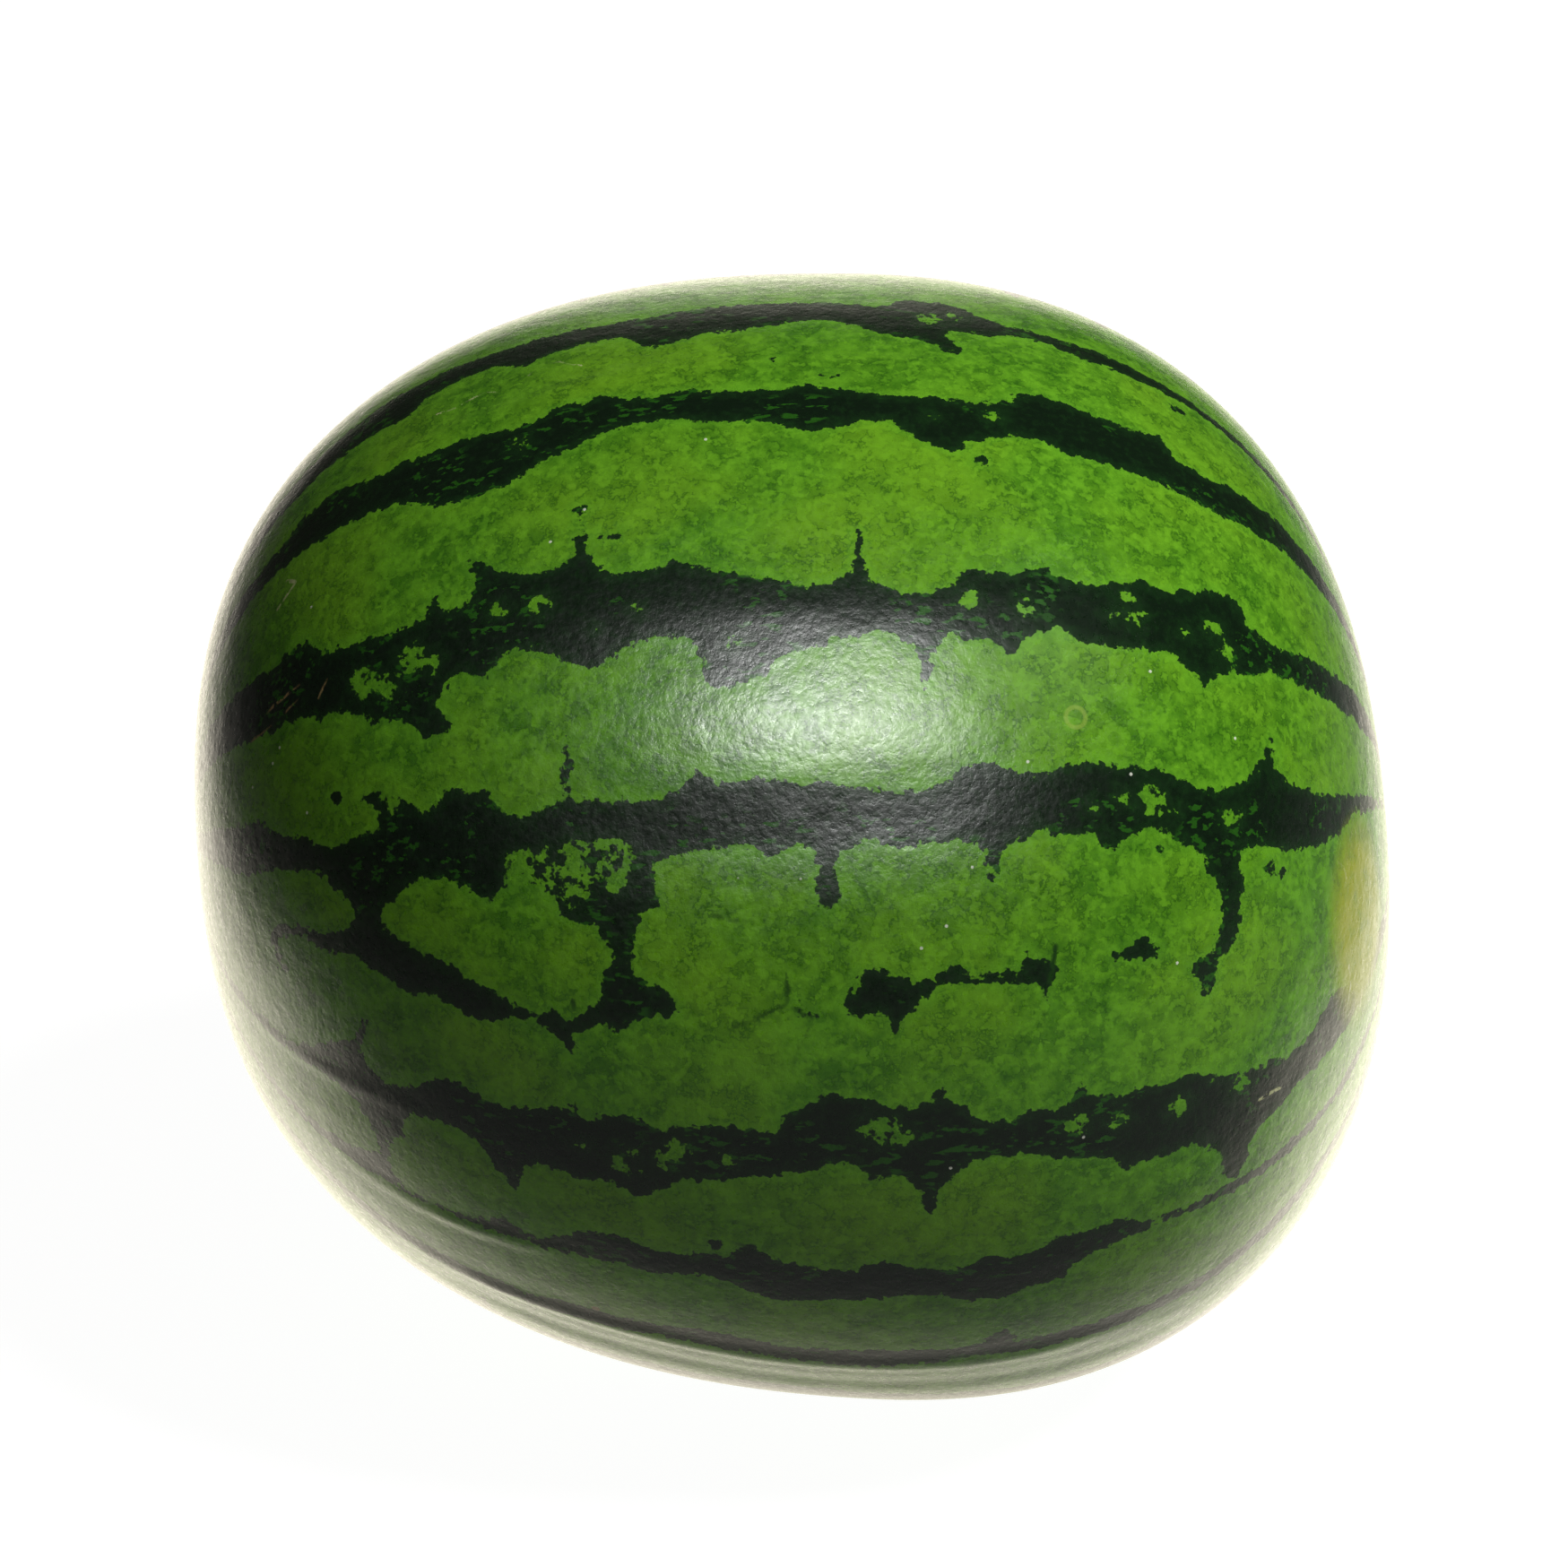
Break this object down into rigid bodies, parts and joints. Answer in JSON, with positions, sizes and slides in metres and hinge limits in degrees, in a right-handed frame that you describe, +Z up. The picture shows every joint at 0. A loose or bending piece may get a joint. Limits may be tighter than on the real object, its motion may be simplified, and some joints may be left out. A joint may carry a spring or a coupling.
{
  "type": "watermelon",
  "caption": "Whole striped watermelon, nearly round and a little blunter at one end, lying on its side on a small flat spot.",
  "frame": {"origin": "on the surface the fruit lies on, below the middle of its bounding box", "axes": "+X from the stem end to the blossom end, +Z up, +Y to the back"},
  "size_m": [0.2402, 0.219, 0.2266],
  "materials": {
    "rind": "waxy semi-gloss rind, green bands with fine darker mottling between jagged blackish green stripes"
  },
  "bodies": {
    "root": {"watermelon": "rind"}
  },
  "joints": []
}
